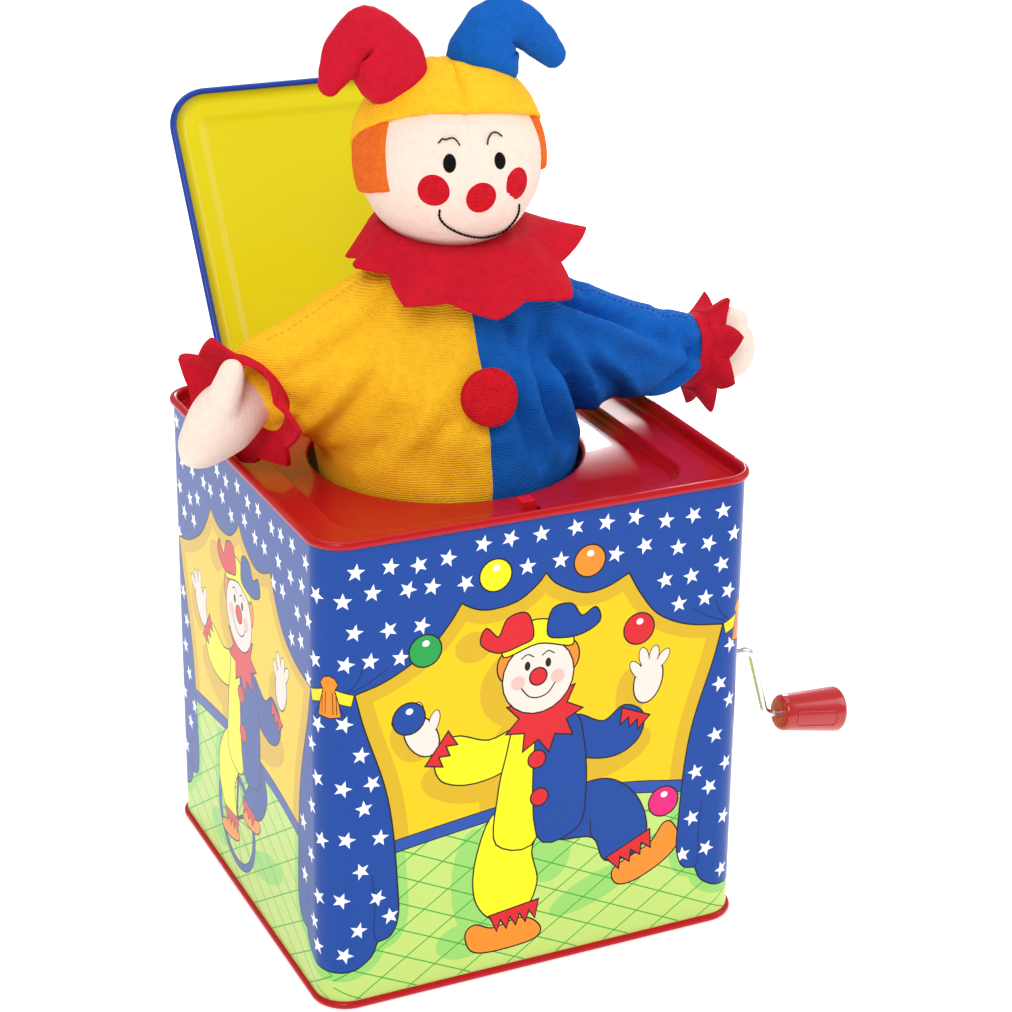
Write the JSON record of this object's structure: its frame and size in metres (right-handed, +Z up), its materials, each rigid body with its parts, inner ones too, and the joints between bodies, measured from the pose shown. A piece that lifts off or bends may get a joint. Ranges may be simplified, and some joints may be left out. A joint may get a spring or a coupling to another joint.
{
  "type": "jack in the box",
  "caption": "Square printed tin box with a side crank and a hinged lid; a sprung cloth clown doll rises through a round hole in the deck.",
  "frame": {"origin": "middle of the box's flat base", "axes": "+Z up, the doll's face and the front wall look towards -Y, the crank stands out of the +X wall, the lid's hinge is along X at the back"},
  "size_m": [0.2248, 0.1841, 0.289],
  "materials": {
    "litho_tin": "gloss printed tinplate, blue with a coloured picture on every wall",
    "red_tin": "gloss red lacquered tinplate",
    "lid_tin": "gloss yellow inside, blue rolled edge and outside",
    "hinge_steel": "plated steel strip",
    "works_steel": "bright zinc plated steel",
    "works_brass": "turned brass",
    "gear_plastic": "moulded acetal",
    "drum_brass": "brushed brass",
    "comb_steel": "hardened spring steel",
    "crank_steel": "bright nickel plated wire",
    "knob_plastic": "gloss red moulded plastic",
    "latch_red": "gloss red lacquered steel",
    "spring_steel": "oiled spring wire",
    "wood": "plain sanded beech",
    "velour_body": "short pile velour, yellow half and blue half",
    "velour_yellow": "short pile yellow velour",
    "velour_blue": "short pile blue velour",
    "velour_red": "short pile red velour",
    "plush_cream": "cream short pile plush with embroidered features",
    "felt_red": "red wool felt",
    "felt_orange": "orange felt",
    "stuffing": "polyester wadding in a cotton bag",
    "thread_red": "satin stitched red thread"
  },
  "bodies": {
    "root": {"tin_body": "litho_tin", "bottom_pan": "red_tin", "top_deck": "red_tin", "hinge_leaf": "red_tin", "hinge_pin": "hinge_steel", "works_frame": "works_steel", "frame_rivets": "works_steel", "crank_bushing": "works_brass", "idler_axle": "works_steel", "drum_axle": "works_steel", "comb": "comb_steel", "comb_screws": "works_steel", "latch_bracket": "works_steel", "latch_spring": "spring_steel", "spring_seat": "works_steel", "main_spring": "spring_steel", "body_cloth": "velour_body"},
    "lid": {"lid_shell": "lid_tin"},
    "doll": {"spring_disc": "wood", "neck_post": "wood", "chest_padding": "stuffing", "head": "plush_cream", "hat_cap": "velour_yellow", "hair_left": "felt_orange", "hair_right": "felt_orange", "horn_left": "velour_red", "horn_right": "velour_blue", "collar": "felt_red", "button": "thread_red"},
    "left_arm": {"sleeve_left": "velour_yellow", "cuff_left": "felt_red", "hand_left": "plush_cream"},
    "right_arm": {"sleeve_right": "velour_blue", "cuff_right": "felt_red", "hand_right": "plush_cream"},
    "crank": {"crank_wire": "crank_steel", "crank_pinion": "works_brass"},
    "knob": {"crank_knob": "knob_plastic"},
    "idler": {"idler_gear": "gear_plastic"},
    "drum": {"music_drum": "drum_brass"},
    "latch": {"rock_shaft": "works_steel", "latch_hook": "latch_red", "latch_tail": "works_steel"}
  },
  "joints": [
    {"name": "lid_hinge", "type": "hinge", "parent": "root", "child": "lid", "pos_m": [0, 0.0542, 0.1476], "axis": [1, 0, 0], "range_deg": [0, 123]},
    {"name": "doll_slide", "type": "slide", "parent": "root", "child": "doll", "axis": [0, 0, 1], "range_m": [-0.165, 0], "stiffness_N_per_m": 32, "springref_m": 0.055, "deforming": ["body_cloth", "main_spring", "collar"]},
    {"name": "left_arm_fold", "type": "hinge", "parent": "doll", "child": "left_arm", "pos_m": [-0.027, 0.003, 0.199], "axis": [0.2815, 0.8522, -0.441], "range_deg": [0, 96.56], "deforming": ["sleeve_left", "cuff_left", "hand_left"]},
    {"name": "right_arm_fold", "type": "hinge", "parent": "doll", "child": "right_arm", "pos_m": [0.027, 0.003, 0.199], "axis": [0.2106, -0.8542, 0.4753], "range_deg": [0, 89.18], "deforming": ["sleeve_right", "cuff_right", "hand_right"]},
    {"name": "crank_spin", "type": "hinge", "parent": "root", "child": "crank", "pos_m": [0, -0.028, 0.07], "axis": [1, 0, 0], "continuous": true},
    {"name": "knob_spin", "type": "hinge", "parent": "crank", "child": "knob", "pos_m": [0.10765, -0.028, 0.0443], "axis": [0.9908, 0, -0.1353], "continuous": true},
    {"name": "idler_spin", "type": "hinge", "parent": "root", "child": "idler", "pos_m": [0, -0.01123, 0.08264], "axis": [1, 0, 0], "continuous": true},
    {"name": "drum_spin", "type": "hinge", "parent": "root", "child": "drum", "pos_m": [0, -0.02327, 0.09984], "axis": [1, 0, 0], "continuous": true},
    {"name": "latch_rock", "type": "hinge", "parent": "root", "child": "latch", "pos_m": [0, -0.0625, 0.112], "axis": [1, 0, 0], "range_deg": [0, 4.5], "stiffness_Nm_per_rad": 0.05, "springref_deg": -8.59}
  ],
  "couplings": [
    {"joint": "doll_slide", "follows": "lid_hinge", "m_per_rad": -0.076767},
    {"joint": "left_arm_fold", "follows": "lid_hinge", "ratio": 0.78466},
    {"joint": "right_arm_fold", "follows": "lid_hinge", "ratio": 0.72464},
    {"joint": "idler_spin", "follows": "crank_spin", "ratio": -0.25},
    {"joint": "drum_spin", "follows": "crank_spin", "ratio": 0.0625}
  ]
}
